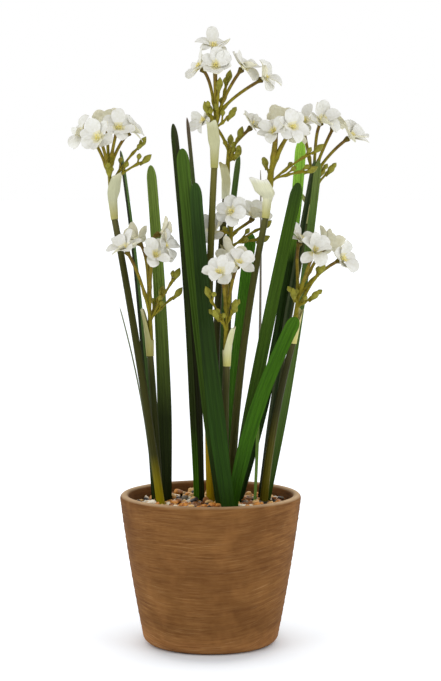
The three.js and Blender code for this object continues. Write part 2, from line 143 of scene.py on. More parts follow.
# Flower heads: each bloom has a compass angle, a lean from upright and a reach from the mouth of
# the sleeve to its throat, then the compass angle and lean that it faces; each bud twig has the
# first three
HEADS = named("blooms twigs", {
    "far_left": (
        [[-114, 29, 51, -112, 62], [-176, 27, 54, -145, 72], [-65, 18, 55, -75, 68],
         [0, 20, 55, 0, 48], [110, 13, 59, 100, 40]],
        [[0, 32, 53], [-8, 47, 45], [-100, 22, 24]],
    ),
    "left_low": (
        [[-128, 26, 76, -150, 35], [150, 11, 75, 140, 50], [-77, 23, 67, -70, 72],
         [-50, 17, 72, -20, 65], [-28, 10, 80, 20, 72]],
        [[-12, 26, 56], [0, 37, 43], [60, 30, 40]],
    ),
    "tall": (
        [[104, 4, 77, -90, 30], [-89, 19, 63, -88, 62], [-164, 14, 62, -150, 50],
         [-20, 23, 65, -40, 48], [-10, 39, 65, -35, 65]],
        [[-70, 12, 51], [26, 13, 58], [-145, 19, 33], [-14, 32, 31], [110, 30, 35]],
    ),
    "tall_behind": (
        [[-26, 32, 47, -30, 50], [-151, 29, 49, -150, 75]],
        [[-28, 20, 40], [-22, 30, 24], [80, 28, 36]],
    ),
    "middle_behind": (
        [[-89, 23, 40, -88, 68], [12, 31, 40, -45, 42], [-160, 36, 28, -110, 60]],
        [[-2, 49, 44], [-8, 63, 36], [90, 33, 34]],
    ),
    "middle_low": (
        [[-104, 22, 60, -105, 60], [-53, 16, 65, -60, 45], [67, 10, 70, 60, 40]],
        [[-140, 26, 48], [-120, 38, 32], [-45, 19, 35]],
    ),
    "right_tall": (
        [[-80, 18, 51, -110, 58], [45, 13, 59, 60, 40],
         [-44, 27, 58, -75, 70], [10, 24, 52, 30, 60]],
        [[3, 49, 58], [-3, 63, 44], [100, 35, 34]],
    ),
    "right_low": (
        [[44, 6, 64, -60, 35], [-51, 24, 60, -70, 52],
         [-8, 40, 62, -35, 70], [20, 25, 65, 50, 50]],
        [[-18, 29, 50], [-25, 43, 30], [-105, 22, 26]],
    ),
    "right_back": (
        [[110, 14, 66, -90, 45], [-44, 12, 65, -60, 55],
         [-7, 34, 61, -30, 60], [23, 20, 64, 60, 50]],
        [[-20, 36, 34], [60, 42, 34]],
    ),
})

# The short stem of a head, thicker in one of them, and the stalks of its blooms
HEAD_STEM = Sizes(
    length=18, radius=1.9, taper=0.3, offset=1.1, forks=[0.25, 0.95], root=15, thick_from=[0, 0.3],
    rows=16, sides=16, ribs=6, rib_depth=0.07,
)
HEAD_GIRTHS = {"right_tall": 1.6}
STALK = Sizes(
    rise=0.35, approach=0.25, radius=1.2, end_radius=1.35, neck=1.5, knot=0.55, knots=[0.2, 0.45],
    knot_length=3.0, tawny_from=[0.3, 0.5], brown_from=[0.65, 0.8], rows=26, sides=12, ribs=5,
    rib_depth=0.06,
)

# Bloom: six tepals in two whorls round a small cup with stamens, on a calyx
BLOOM = Sizes(
    tepals=6, radius=13.8, lifts=[24, 10], tilt=24, wobble=10, size_spread=0.06, set_back=4.5,
)
TEPAL = Sizes(
    half_widths=[5.8, 6.9], width_play=[0.74, 1.08], length_play=[0.92, 1.06], stretch=1.3,
    root=0.9, thickness=0.18, edge=0.12, lift_play=26, twist=28, curls=[-75, 55], curl_start=0.4,
    curl_power=1.5, funnel=76, funnel_share=0.2, claw=0.25, broad_from=0.6, round_from=0.5,
    round_power=2.4, cups=[0.05, 0.5], ruffle=0.5, ruffle_paces=[5, 10], crease=0.25,
    crease_width=0.16, point=0.03, point_width=0.2, point_from=0.8, tone_ends=[0.14, 0.32],
    back_tone=3, crowding=0.9, rows=19, columns=13,
)
CUP = Sizes(
    rim=3.1, height=2.4, wall=0.2, ruffle=0.3, lobes=6, throat=0.3, lift=0.4, flare=0.7, dish=1.6,
    rim_wave=0.6, sides=48, rows=10,
)
STAMEN = Sizes(
    count=6, length=4.4, length_play=[0.8, 1.1], radius=0.24, foot=0.2, spread=26,
    spread_play=[0.4, 1.2], swing_play=0.25, rows=6, sides=6, anther=0.42, anther_reach=1.1,
    anther_tip=0.03, anther_rows=7, anther_sides=8,
)
CALYX = Sizes(
    length=4.6, radius=2.5, drop=0.7, lobes=6, lobe_depth=0.09, sides=24,
    shares=[0.0, 0.12, 0.3, 0.5, 0.7, 0.86, 0.95, 1.0],
    widths=[0.54, 0.58, 0.68, 0.82, 0.95, 1.0, 0.9, 0.5],
)

# Bud twig: a thin stalk with knots, a bud at its end and smaller side buds on stems of their own
BUD = Sizes(
    length=8, radius=2.75, sink=0.3, tail=4.8, foot=0.3, swell=[0.05, 0.6], close_from=0.56,
    close_power=1.8, point=0.06, green_from=0.3, seams=3, seam_depth=0.02, rows=17, sides=18,
)
TWIG = Sizes(
    radius=0.85, knot=0.5, kink=0.5, kink_share=0.22, rows=30, sides=10, ribs=4, rib_depth=0.06,
)
SIDE_BUD = Sizes(
    count=2, length=11, radius=2.1, play=0.4, swing=150, lean=40, stem=0.45, stem_radii=[0.9, 0.7],
    covered_from=0.8, rows=5, sides=8, ribs=0, rib_depth=0.0,
)

# Light and the camera of the photograph, in metres, watts and degrees
WORLD = Sizes(front=0.28, back=1.0, turn=(-1, 0.1), horizon=(0.05, 0.14))
# The floor glows by its distance from the pot's axis, though it is no lamp, which paints a contact
# shadow; depth shortens the distance front to back, so the painted shadow reaches farther there. Its
# cool tint is set to cancel the warm light that the pot throws on it.
FLOOR = Sizes(
    size=60, depth=0.7, far=0.3, colour=(0.845, 0.885, 0.93, 1),
    glow=[(0.048, 0.0), (0.058, 0.16), (0.066, 0.24), (0.078, 0.29), (0.1, 0.33), (0.3, 0.45)],
)
SOFTBOX = Sizes(size=0.9, power=5.2, target=(0, 0, 0.28))
SOFTBOX_PLACES = {"left": (-1.1, -0.9, 1.0), "right": (1.1, -0.9, 1.0)}
CAMERA = Sizes(place=(0.008, -1.6, 0.375), pitch=4.66, lens=105.7, sensor=36)


# Small mathematics

def dice(seed):
    """Repeatable dice that deal numbers from 0 to 1"""
    state = seed

    def roll():
        nonlocal state
        state = state * 16807 % 2147483647
        return state / 2147483647

    return roll


def direction(swing, lean):
    """Unit vectors at compass angles and leans from upright, both in degrees"""
    a, b = np.broadcast_arrays(np.radians(swing), np.radians(lean))
    return np.stack([np.sin(b) * np.cos(a), np.sin(b) * np.sin(a), np.cos(b)], axis=-1)


def unit(vectors):
    return vectors / np.linalg.norm(vectors, axis=-1, keepdims=True)


def lerp(a, b, share):
    return a + (b - a) * share


def smooth(value, low, high):
    """0 below low, 1 above high and an S-curve between them"""
    share = np.clip((value - low) / (high - low), 0, 1)
    return share * share * (3 - 2 * share)


def bezier(controls, shares):
    """Places and unit tangents at shares of a Bezier curve"""
    t = np.asarray(shares, float)[:, None]
    points = [np.asarray(control, float)[None, :] for control in controls]
    while len(points) > 2:
        points = [lerp(a, b, t) for a, b in zip(points, points[1:])]
    first, second = points
    return lerp(first, second, t), unit(second - first)


def section_axes(tangents, turn=-90):
    """The sideways and facing directions of a limb's sections"""
    across = unit(np.cross(tangents, direction(turn, 90)))
    return across, np.cross(across, tangents)


def spun(angle):
    """Axes turned about +Z"""
    c, s = math.cos(angle), math.sin(angle)
    return np.array([[c, -s, 0], [s, c, 0], [0, 0, 1]])


def aim(facing, spin=0.0):
    """Axes of a shape built round +Z: it is spun about +Z, then +Z is tipped to the facing"""
    x, y, z = np.cross([0, 0, 1], facing)
    cross = np.array([[0, -z, y], [z, 0, -x], [-y, x, 0]])
    tip = np.eye(3) + cross + cross @ cross / (1 + facing[2])
    return tip @ spun(spin)


def past(share, start):
    """0 up to a start, then up to 1 at the end"""
    return np.clip((share - start) / (1 - start), 0, 1)


def round_angles(sides):
    return np.linspace(0, FULL_TURN, sides, endpoint=False)


def rounded(reach, angles, heights):
    """Places round +Z"""
    heights = np.broadcast_to(heights, reach.shape)
    return np.stack([reach * np.cos(angles), reach * np.sin(angles), heights], axis=-1)


# Meshes

class Heap:
    """Corners and faces gathered for one mesh, with a tone (a material's number) for each face
    and, for each corner, its share along and across its limb"""

    def __init__(self):
        self.corners, self.faces, self.tones = [], [], []
        self.along, self.across = [], []
        self.count = 0

    def add(self, corners, faces, tones, along=0.0, across=0.0):
        size = len(corners)
        self.corners.append(corners)
        self.along.append(np.broadcast_to(along, size))
        self.across.append(np.broadcast_to(across, size))
        for group, tone in zip(faces, tones):
            self.faces.extend((group + self.count).tolist())
            self.tones.append(np.broadcast_to(tone, len(group)))
        self.count += size

    def build(self, name, skins, slot, *nodes):
        """A mesh object that rides on the plant's body and stands for solids"""
        mesh = bpy.data.meshes.new(name)
        mesh.from_pydata(np.concatenate(self.corners) * MM, [], self.faces)
        mesh.polygons.foreach_set("material_index", np.concatenate(self.tones).astype(np.int32))
        mesh.polygons.foreach_set("use_smooth", np.ones(len(mesh.polygons), bool))
        for label, values in (("along", self.along), ("across", self.across)):
            layer = mesh.attributes.new(label, "FLOAT", "POINT")
            layer.data.foreach_set("value", np.concatenate(values).astype(np.float32))
        for skin in skins:
            mesh.materials.append(skin)
        shell = bmesh.new()
        shell.from_mesh(mesh)
        bmesh.ops.recalc_face_normals(shell, faces=shell.faces)
        shell.to_mesh(mesh)
        shell.free()
        piece = placed(name, mesh)
        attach(piece, "root")
        if nodes:
            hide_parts(*nodes)


def loft(heap, sections, tones=0, along=0.0, across=0.0, wrap=False):
    """A skin over sections, each a loop of corners. It is closed at both ends, or joined to
    itself where it wraps. Tones are one for all, or by rows and columns of faces."""
    count, size, _ = sections.shape
    rows = count if wrap else count - 1
    i, j = np.meshgrid(np.arange(rows), np.arange(size), indexing="ij")
    below, above, after = i * size, (i + 1) % count * size, (j + 1) % size
    quads = np.stack([below + j, below + after, above + after, above + j], axis=-1).reshape(-1, 4)
    tones = np.broadcast_to(tones, (rows, size))
    faces, face_tones = [quads], [tones.ravel()]
    corners = sections.reshape(-1, 3)
    along = np.repeat(np.broadcast_to(along, count), size)
    across = np.tile(np.broadcast_to(across, size), count)
    if not wrap:
        ring = np.arange(size)
        after = (ring + 1) % size
        first = np.stack([after, ring, np.full(size, count * size)], axis=-1)
        start = (count - 1) * size
        last = np.stack([start + ring, start + after, np.full(size, count * size + 1)], axis=-1)
        corners = np.concatenate([corners, sections[0].mean(0)[None], sections[-1].mean(0)[None]])
        along = np.append(along, [along[0], along[-1]])
        across = np.append(across, [0, 0])
        faces += [first, last]
        face_tones += [tones[0, 0], tones[-1, 0]]
    heap.add(corners, faces, face_tones, along, across)


def tube(heap, places, tangents, radii, make, tones=0, along=0.0):
    """A round limb along places, whose make gives its sides and the ribs along it"""
    angles = round_angles(make.sides)
    across, face = section_axes(np.broadcast_to(tangents, places.shape))
    cosines, sines = np.cos(angles)[None, :, None], np.sin(angles)[None, :, None]
    ring = cosines * across[:, None] + sines * face[:, None]
    relief = 1 + make.rib_depth * np.cos(make.ribs * angles)
    reach = np.broadcast_to(radii, len(places))[:, None] * relief
    loft(heap, places[:, None] + reach[..., None] * ring, tones, along, np.abs(angles / math.pi - 1))


def turned(heap, foot, axes, heights, radii, sides, tones=0, lobes=0, lobe_depth=0.0):
    """A shape turned round the third of its axes, with lobes round it"""
    angles = round_angles(sides)
    relief = 1 + lobe_depth * np.cos(lobes * angles)
    reach = np.asarray(radii)[:, None] * relief
    loft(heap, foot + rounded(reach, angles, np.asarray(heights)[:, None]) @ axes.T, tones)


def placed(name, data):
    made = bpy.data.objects.new(name, data)
    bpy.context.scene.collection.objects.link(made)
    return made


# Materials

def srgb(red, green, blue):
    """Linear colour of one given as 0 to 255"""
    share = np.array([red, green, blue]) / 255
    linear = np.where(share <= 0.04045, share / 12.92, ((share + 0.055) / 1.055) ** 2.4)
    return (*linear.tolist(), 1.0)


class Nodes:
    """A node tree being made"""

    def __init__(self, tree):
        self.tree = tree

    def give(self, value, socket):
        """A socket gets another node's output or a plain value"""
        if isinstance(value, bpy.types.NodeSocket):
            self.tree.links.new(value, socket)
        else:
            socket.default_value = value

    def node(self, kind, inputs=None, **settings):
        """A new node with its settings, and with its inputs by name or number"""
        made = self.tree.nodes.new(kind)
        for key, value in settings.items():
            setattr(made, key, value)
        for key, value in (inputs or {}).items():
            self.give(value, made.inputs[key])
        return made

    def split(self, vector):
        return self.node("ShaderNodeSeparateXYZ", {"Vector": vector}).outputs

    def calc(self, operation, *values):
        made = self.node("ShaderNodeMath", dict(enumerate(values)), operation=operation)
        return made.outputs["Value"]

    def span(self, value, low, high, to_low=0.0, to_high=1.0):
        """A value's span carried over to another one"""
        ends = {"From Min": low, "From Max": high, "To Min": to_low, "To Max": to_high}
        return self.node("ShaderNodeMapRange", {"Value": value, **ends}).outputs["Result"]


class Skin(Nodes):
    """A material being made"""

    def __init__(self, name, roughness, specular):
        self.material = bpy.data.materials.new(name)
        self.material.use_nodes = True
        super().__init__(self.material.node_tree)
        self.set("Roughness", roughness)
        self.set("Specular IOR Level", specular)

    def set(self, label, value):
        """The same for an input of the shader"""
        self.give(value, self.tree.nodes["Principled BSDF"].inputs[label])

    def scaled(self, vector, scale):
        return self.node("ShaderNodeMapping", {"Vector": vector, "Scale": scale}).outputs["Vector"]

    def places(self, scale=(1, 1, 1)):
        """Object coordinates, scaled"""
        return self.scaled(self.node("ShaderNodeTexCoord").outputs["Object"], scale)

    def joined(self, x, y, z, scale):
        made = self.node("ShaderNodeCombineXYZ", {"X": x, "Y": y, "Z": z})
        return self.scaled(made.outputs["Vector"], scale)

    def brushed(self, scale, slope, bend=1.0, sway=0.012):
        """Object coordinates whose level lines curve up to the right and sway"""
        x, y, z = self.split(self.places())
        fall = self.calc("MULTIPLY_ADD", x, -bend, -slope)
        tilted = self.calc("MULTIPLY_ADD", x, fall, z)
        swaying = self.span(self.noise(self.places(), 6, 1), 0, 1, -sway, sway)
        return self.joined(x, y, self.calc("ADD", tilted, swaying), scale)

    def share(self, label):
        return self.node("ShaderNodeAttribute", attribute_name=label).outputs["Fac"]

    def limb_places(self, across, along):
        """Coordinates that run across and along a limb"""
        return self.joined(self.share("across"), self.share("along"), 0.0, (across, along, 1))

    def noise(self, vector, scale, detail, rough=0.55):
        inputs = {"Vector": vector, "Scale": scale, "Detail": detail, "Roughness": rough}
        return self.node("ShaderNodeTexNoise", inputs).outputs["Fac"]

    def ramp(self, value, stops):
        """A colour from a value, by stops: a position and a colour, 0 to 255 or linear with alpha"""
        made = self.node("ShaderNodeValToRGB", {"Fac": value})
        elements = made.color_ramp.elements
        while len(elements) < len(stops):
            elements.new(0.5)
        for element, (position, colour) in zip(elements, stops):
            element.position = position
            element.color = srgb(*colour) if len(colour) == 3 else colour
        return made.outputs["Color"]

    def mix(self, share, first, second, blend="MIX"):
        inputs = {0: share, 6: first, 7: second}
        return self.node("ShaderNodeMix", inputs, data_type="RGBA", blend_type=blend).outputs[2]

    def bump(self, height, strength, depth):
        inputs = {"Height": height, "Strength": strength, "Distance": depth}
        self.set("Normal", self.node("ShaderNodeBump", inputs).outputs["Normal"])

    def rough(self, value, low, high):
        self.set("Roughness", self.span(value, 0.3, 0.7, low, high))


def clay():
    """Brown clay with nearly level brush strokes; the lip is paler from wear and a painted highlight,
    strongest at the left and right, and the lower wall is lightened by painted light
    """
    skin = Skin("clay", 0.9, 0.06)
    skin.set("Sheen Weight", 0.03)
    skin.set("Sheen Roughness", 0.4)
    broad = skin.noise(skin.brushed((13, 13, 110), 0.05), 1, 4, 0.6)
    strokes = skin.noise(skin.brushed((34, 34, 600), 0.07), 1, 5, 0.65)
    fine = skin.noise(skin.brushed((90, 90, 1700), 0.08), 1, 3, 0.6)
    scratches = skin.noise(skin.brushed((34, 34, 1500), 0.1, 1.6, 0.02), 1, 2, 0.5)
    clouds = skin.noise(skin.places((1, 1, 1.4)), 22, 5, 0.6)
    patches = skin.noise(skin.places((1.3, 1.3, 1)), 34, 3, 0.6)
    browns = [(0.26, (84, 51, 24)), (0.45, (112, 73, 38)), (0.6, (126, 86, 47)), (0.8, (152, 110, 66))]
    brown = skin.ramp(strokes, browns)
    washes = [
        (broad, 0.42, 0.72, 0.55, (136, 94, 50)), (fine, 0.45, 0.8, 0.45, (158, 117, 72)),
        (clouds, 0.42, 0.7, 0.65, (94, 59, 29)), (patches, 0.5, 0.75, 0.55, (146, 101, 56)),
        (scratches, 0.64, 0.78, 0.45, (182, 145, 100)),
    ]
    for texture, low, high, share, colour in washes:
        brown = skin.mix(skin.span(texture, low, high, 0.0, share), brown, srgb(*colour))
    x, _, z = skin.split(skin.places())
    # Painted light: the clay is made much paler towards the bottom, to undo the shade that falls on it
    # near the floor
    foot = skin.span(z, 20 * MM, 0, 0.0, 0.8)
    brown = skin.mix(foot, brown, (1.9, 1.95, 2.1, 1.0), "MULTIPLY")
    top = POT.height * MM
    # Painted highlight with wear: the lip's top is paler, most at the left and right sides and least
    # at the front and back, as if the side lamps shone on it
    lip = skin.span(z, top - 2 * MM, top - 0.3 * MM)
    side_highlight = skin.span(skin.calc("ABSOLUTE", x), 20 * MM, 60 * MM, 0.35, 1.0)
    wear_and_highlight = skin.calc("MULTIPLY", lip, side_highlight)
    wear_and_highlight = skin.calc("MULTIPLY", wear_and_highlight, skin.span(clouds, 0.25, 0.6, 1.0, 0.7))
    skin.set("Base Color", skin.mix(wear_and_highlight, brown, srgb(212, 182, 144)))
    skin.bump(fine, 0.35, 0.6 * MM)
    skin.rough(strokes, 0.82, 0.95)
    return skin.material


def clouded(name, roughness, specular, stops, clouds, grain, bump, depth=0.4):
    """A material coloured by a cloudy noise, with the fine grain of another one"""
    skin = Skin(name, roughness, specular)
    skin.set("Base Color", skin.ramp(skin.noise(skin.places(), *clouds), stops))
    skin.bump(skin.noise(skin.places(), *grain), bump, depth * MM)
    return skin.material


def soil():
    """Dark grit under and between the pebbles, partly painted shade: its darkness also stands in for
    the shade deep in the gaps
    """
    grit = (420, 6, 0.7)
    stops = [(0.35, (24, 18, 12)), (0.65, (62, 47, 33))]
    return clouded("soil", 0.95, 0.1, stops, grit, grit, 0.8, 1.0)


def stone(name, colour, vein, roughness):
    """Stone with cloudy veins"""
    stops = [(0.36, colour), (0.52, colour), (0.66, vein)]
    return clouded(name, roughness, 0.35, stops, (260, 5, 0.65), (1500, 3, 0.6), 0.25)


def cloth(name, colour, shade, scale, bump, roughness=0.75):
    """A crinkled cloth or skin: a colour clouded by a shade of it"""
    stops = [(0.38, colour), (0.72, shade)]
    return clouded(name, roughness, 0.15, stops, (scale, 4, 0.6), (scale * 6, 3, 0.6), bump)


def ribbed(name, colours, rise, roughness, streaks, contrast, specular, half=None):
    """A limb's plastic, streaked along it: the foot's colour gives way to the blade's over a rise,
    then comes the tip's. A left half can have colours of its own, which paint light and shade on the
    halves of a folded blade."""
    skin = Skin(name, roughness, specular)
    low, high = rise
    along = skin.share("along")

    def run(foot, blade, tip):
        return skin.ramp(along, [(low, foot), (high, blade), (0.85, blade), (1.0, tip)])

    base = run(*colours)
    if half:
        base = skin.mix(skin.span(skin.share("across"), -0.1, 0.15), run(*half), base)
    broad = skin.noise(skin.limb_places(streaks, 3.5), 1, 4, 0.6)
    fine = skin.noise(skin.limb_places(streaks * 4, 9), 1, 3, 0.6)
    dark = skin.span(broad, 0.4, 0.7, 0.0, contrast)
    light = skin.span(fine, 0.45, 0.8, 0.0, contrast * 0.6)
    shaded = skin.mix(dark, base, (0.3, 0.3, 0.25, 1.0), "MULTIPLY")
    skin.set("Base Color", skin.mix(light, shaded, (1.0, 1.0, 0.8, 1.0), "SOFT_LIGHT"))
    skin.bump(fine, 0.3, 0.5 * MM)
    skin.rough(broad, roughness - 0.08, roughness + 0.1)
    return skin.material


# Skins of limbs
LEAF_SKIN = {"roughness": 0.48, "streaks": 3.2, "contrast": 0.68, "specular": 0.09}
STEM_SKIN = {"roughness": 0.5, "streaks": 12, "contrast": 0.4, "specular": 0.09}
SLEEVE_SKIN = {"roughness": 0.65, "streaks": 26, "contrast": 0.2, "specular": 0.12}

# Colours of limbs at foot, blade and tip, and the shares of their lengths over which the foot's
# colour gives way
# The leaves' dark foot colours are partly painted shade, where the blades crowd together low down; the
# dark leaf's own colours paint its right half in shade
LEAF_COLOURS = {
    "left_broad": [(36, 46, 10), (118, 142, 62), (126, 150, 70)],
    "left_narrow": [(34, 46, 12), (94, 124, 66), (106, 128, 80)],
    "left_wisp": [(60, 84, 36), (150, 158, 124), (176, 180, 156)],
    "dark": [(34, 44, 12), (30, 32, 10), (60, 64, 38)],
    "green": [(36, 54, 8), (62, 88, 22), (68, 94, 28)],
    "spike": [(50, 62, 20), (70, 86, 42), (110, 92, 80)],
    "front_broad": [(36, 66, 8), (34, 54, 14), (50, 76, 28)],
    "front_bright": [(44, 82, 2), (52, 92, 6), (62, 102, 12)],
    "right_arch": [(34, 54, 4), (54, 80, 10), (44, 66, 14)],
    "right_lime": [(36, 58, 14), (138, 190, 62), (150, 200, 70)],
    "right_outer": [(52, 76, 16), (82, 106, 46), (106, 120, 60)],
    "right_inner": [(26, 34, 8), (44, 60, 26), (84, 102, 56)],
    "right_wisp": [(104, 136, 58), (150, 142, 128), (162, 154, 142)],
    "middle_narrow": [(34, 50, 12), (64, 92, 38), (92, 112, 58)],
    "middle_broad": [(40, 70, 10), (74, 124, 28), (80, 126, 36)],
}
LEAF_RISE = (0.1, 0.5)
LEAF_RISES = {
    "left_broad": (0.25, 0.75), "dark": (0.03, 0.2), "right_lime": (0.66, 0.78),
    "right_wisp": (0.4, 0.52),
}
# Colours of a leaf's left half, painted light and shade of a folded blade: the dark leaf's left half
# is painted lit and green and its right half in shade, right_inner's left half is painted lighter, and
# left_narrow's left half is darker
LEAF_LIT_AND_SHADED_HALVES = {
    "dark": [(84, 142, 26), (50, 62, 24), (50, 62, 24)],
    "left_narrow": [(42, 50, 24), (42, 50, 24), (42, 50, 24)],
    "right_inner": [(38, 44, 20), (66, 76, 46), (88, 100, 72)],
}
STEM_COLOURS = {
    "far_left": [(150, 136, 4), (54, 54, 16), (88, 84, 48)],
    "left_low": [(60, 62, 14), (50, 54, 18), (78, 78, 40)],
    "tall": [(158, 132, 4), (80, 78, 26), (106, 100, 48)],
    "tall_behind": [(58, 58, 14), (56, 56, 20), (90, 84, 42)],
    "middle_behind": [(50, 50, 12), (60, 56, 20), (86, 80, 38)],
    "middle_low": [(66, 64, 14), (60, 60, 24), (78, 76, 40)],
    "right_tall": [(60, 58, 14), (74, 74, 30), (92, 90, 48)],
    "right_low": [(92, 86, 12), (50, 50, 22), (74, 72, 40)],
    "right_back": [(54, 54, 12), (60, 64, 28), (82, 84, 48)],
}
STEM_RISE = (0.08, 0.28)
STEM_RISES = {"far_left": (0.03, 0.18), "tall": (0.12, 0.36), "right_low": (0.15, 0.6)}
SLEEVE_COLOURS = {
    "far_left": [(166, 160, 98), (184, 184, 150), (206, 203, 168)],
    "left_low": [(160, 154, 84), (172, 168, 114), (196, 192, 150)],
    "tall": [(158, 154, 90), (184, 182, 142), (204, 203, 170)],
    "tall_behind": [(212, 212, 182), (198, 194, 152), (166, 156, 102)],
    # middle_behind's sleeve is painted a darker grey-olive, as in shade
    "middle_behind": [(142, 136, 84), (140, 134, 92), (146, 140, 98)],
    "middle_low": [(184, 180, 104), (202, 201, 156), (214, 213, 176)],
    "right_tall": [(190, 184, 112), (220, 218, 186), (236, 234, 222)],
    "right_low": [(200, 192, 116), (204, 196, 138), (204, 196, 144)],
    "right_back": [(184, 182, 122), (182, 178, 120), (202, 198, 146)],
}
SLEEVE_RISE = (0.05, 0.45)

# Skins of a flower head's pieces, by the tone of a face
HEAD_SKINS = {
    "stalks": [
        cloth("stalk_olive", (136, 125, 30), (106, 97, 16), 300, 0.35, 0.55),
        cloth("stalk_tawny", (132, 116, 32), (102, 88, 18), 300, 0.35, 0.55),
        cloth("stalk_brown", (116, 92, 34), (86, 66, 20), 300, 0.35, 0.55),
    ],
    "calyxes": [cloth("calyx_skin", (104, 88, 26), (74, 62, 14), 350, 0.4, 0.6)],
    "buds": [
        cloth("bud_foot", (122, 114, 30), (98, 91, 20), 300, 0.3, 0.55),
        cloth("bud_green", (140, 136, 48), (108, 104, 28), 300, 0.3, 0.5),
    ],
    "petals": [
        cloth("petal_root", (230, 221, 148), (218, 207, 124), 420, 0.04),
        cloth("petal_lower", (228, 223, 194), (218, 212, 177), 420, 0.04),
        cloth("petal_white", (228, 227, 221), (217, 215, 203), 420, 0.04),
        # Painted shade: the backs of the petals get a darker, warmer copy of the white, standing in
        # for petals in shade
        cloth("petal_back_shade", (221, 217, 194), (211, 205, 174), 420, 0.04),
    ],
    "cups": [cloth("cup_cloth", (242, 238, 204), (236, 230, 184), 420, 0.2)],
    "stamens": [
        cloth("stamen_stalk", (246, 242, 196), (240, 232, 170), 500, 0.2),
        cloth("stamen_anther", (246, 234, 152), (236, 216, 112), 500, 0.3),
    ],
}

# Colour, veins and roughness of the pebbles
STONE_LOOKS = {
    "rust": ((222, 150, 66), (174, 104, 42), 0.38),
    "tan": ((236, 192, 124), (206, 152, 84), 0.42),
    "cream": ((250, 240, 218), (230, 206, 166), 0.4),
    "brown": ((156, 100, 48), (116, 70, 32), 0.4),
    "grey": ((138, 126, 108), (100, 92, 80), 0.36),
    "black": ((38, 34, 30), (70, 62, 54), 0.28),
}
STONES = {kind: stone(f"stone_{kind}", *look) for kind, look in STONE_LOOKS.items()}


# Pot and gravel

def wall_radius(z):
    share = z / (POT.height - POT.wall / 2)
    straight = lerp(POT.foot, POT.rim, share)
    return straight + POT.belly * 4 * share * (1 - share)


def arc(centre, height, radius, start, end, count):
    angles = np.radians(np.linspace(start, end, count))
    return np.stack([centre + radius * np.cos(angles), height + radius * np.sin(angles)], axis=-1)


def pot_profile():
    """Radius and height from the underside up the wall, over the lip and in to the floor"""
    lip = POT.wall / 2
    lip_height = POT.height - lip
    edge = POT.lower_edge
    wall = np.linspace(edge, lip_height, 60)[1:-1]
    inside = np.linspace(lip_height, POT.floor, 24)[1:]
    return np.concatenate([
        [[0.5, 0], [20, 0], [40, 0]],
        arc(wall_radius(edge) - edge, edge, edge, -90, 0, 9),
        np.stack([wall_radius(wall), wall], axis=-1),
        arc(POT.rim - lip, lip_height, lip, 0, 180, 19),
        np.stack([wall_radius(inside) - POT.wall, inside], axis=-1),
        [[30, POT.floor], [0.5, POT.floor]],
    ])


def pot():
    """The pot, with the faint rings of brushed clay on its outer wall"""
    heap = Heap()
    profile = pot_profile()
    radius, height = profile[:, :1], profile[:, 1:]
    angles = round_angles(POT.sides)[None, :]
    (fine, broad), (sway, drift) = POT.ring_paces, POT.ring_sways
    rings = np.sin(height * fine + sway * np.sin(angles + height * 0.05)) * 0.5
    rings = rings + np.sin(height * broad + drift * np.sin(2 * angles)) * 0.5
    outside = smooth(radius, *POT.bare_inside) * smooth(height, *POT.bare_foot)
    outside = outside * (1 - smooth(height, *POT.bare_lip))
    reach = radius + POT.ring_depth * rings * outside
    loft(heap, rounded(reach, angles, height))
    heap.build("pot_shell", [clay()], "clay", "pot")


def pebble_shape():
    ball = bmesh.new()
    bmesh.ops.create_icosphere(ball, subdivisions=3, radius=1.0)
    corners = np.array([corner.co for corner in ball.verts])
    faces = np.array([[corner.index for corner in face.verts] for face in ball.faces])
    ball.free()
    return corners, faces


def chipped(corners, random):
    """A ball with flats struck off, stretched and tilted into a pebble"""
    shape = corners.copy()
    for _ in range(PEBBLES.flats):
        toward = unit(random.normal(size=3))
        proud = np.maximum(shape @ toward - random.uniform(*PEBBLES.flat_depths), 0)
        shape -= PEBBLES.cut * proud[:, None] * toward
    shape *= random.uniform(*PEBBLES.stretch)
    tilt = PEBBLES.tilt
    up = unit(random.normal(size=3) * [tilt, tilt, 0] + [0, 0, 1])
    return shape @ aim(up, random.uniform(0, FULL_TURN)).T


def gravel():
    """Pebbles in a sunflower spiral on a bed of soil, and some more on top"""
    random = np.random.default_rng(SEED)
    edge = wall_radius(GROUND) - POT.wall - 2 * GAP
    limbs = [*STEMS.values(), *LEAVES.values()]
    feet = np.array([limb.foot for limb in limbs], float)
    corners, faces = pebble_shape()
    heaps = {kind: Heap() for kind in STONES}
    golden = math.pi * (3 - math.sqrt(5))
    for i in range(PEBBLES.count + PEBBLES.upper):
        upper = i >= PEBBLES.count
        share = random.uniform(0, 1) if upper else (i + 0.5) / PEBBLES.count
        size = PEBBLES.radius * (1 + PEBBLES.spread * random.uniform(-1, 1))
        reach = (edge - size) * math.sqrt(share)
        angle = i * golden + random.uniform(-PEBBLES.swing, PEBBLES.swing)
        height = GROUND + random.uniform(*PEBBLES.heights) + (PEBBLES.upper_rise if upper else 0)
        place = np.array([reach * math.cos(angle), reach * math.sin(angle), height])
        kind = random.choice(list(STONE_SHARES), p=list(STONE_SHARES.values()))
        shape = chipped(corners, random)
        if np.linalg.norm(feet - place[:2], axis=1).min() > PEBBLES.room:
            heaps[kind].add(place + size * shape, [faces], [0])
    for kind, heap in heaps.items():
        heap.build(f"pebbles_{kind}", [STONES[kind]], "gravel")
    bed = Heap()
    heights, radii = GROUND - np.array(BED.depths), edge * np.array(BED.shares)
    turned(bed, np.zeros(3), np.eye(3), heights, radii, BED.sides)
    bed.build("gravel_bed", [soil()], "gravel", "gravel")


# Stems, leaves and sleeves

def limb_line(limb, shares):
    """Places and tangents of a stem or leaf at shares of its length"""
    foot = np.array([*limb.foot, GROUND + GAP], float)
    tip = np.array(limb.tip, float)
    bend = (foot + tip) / 2 + np.array([*limb.bow, 0])
    return bezier([foot, bend, tip], shares)


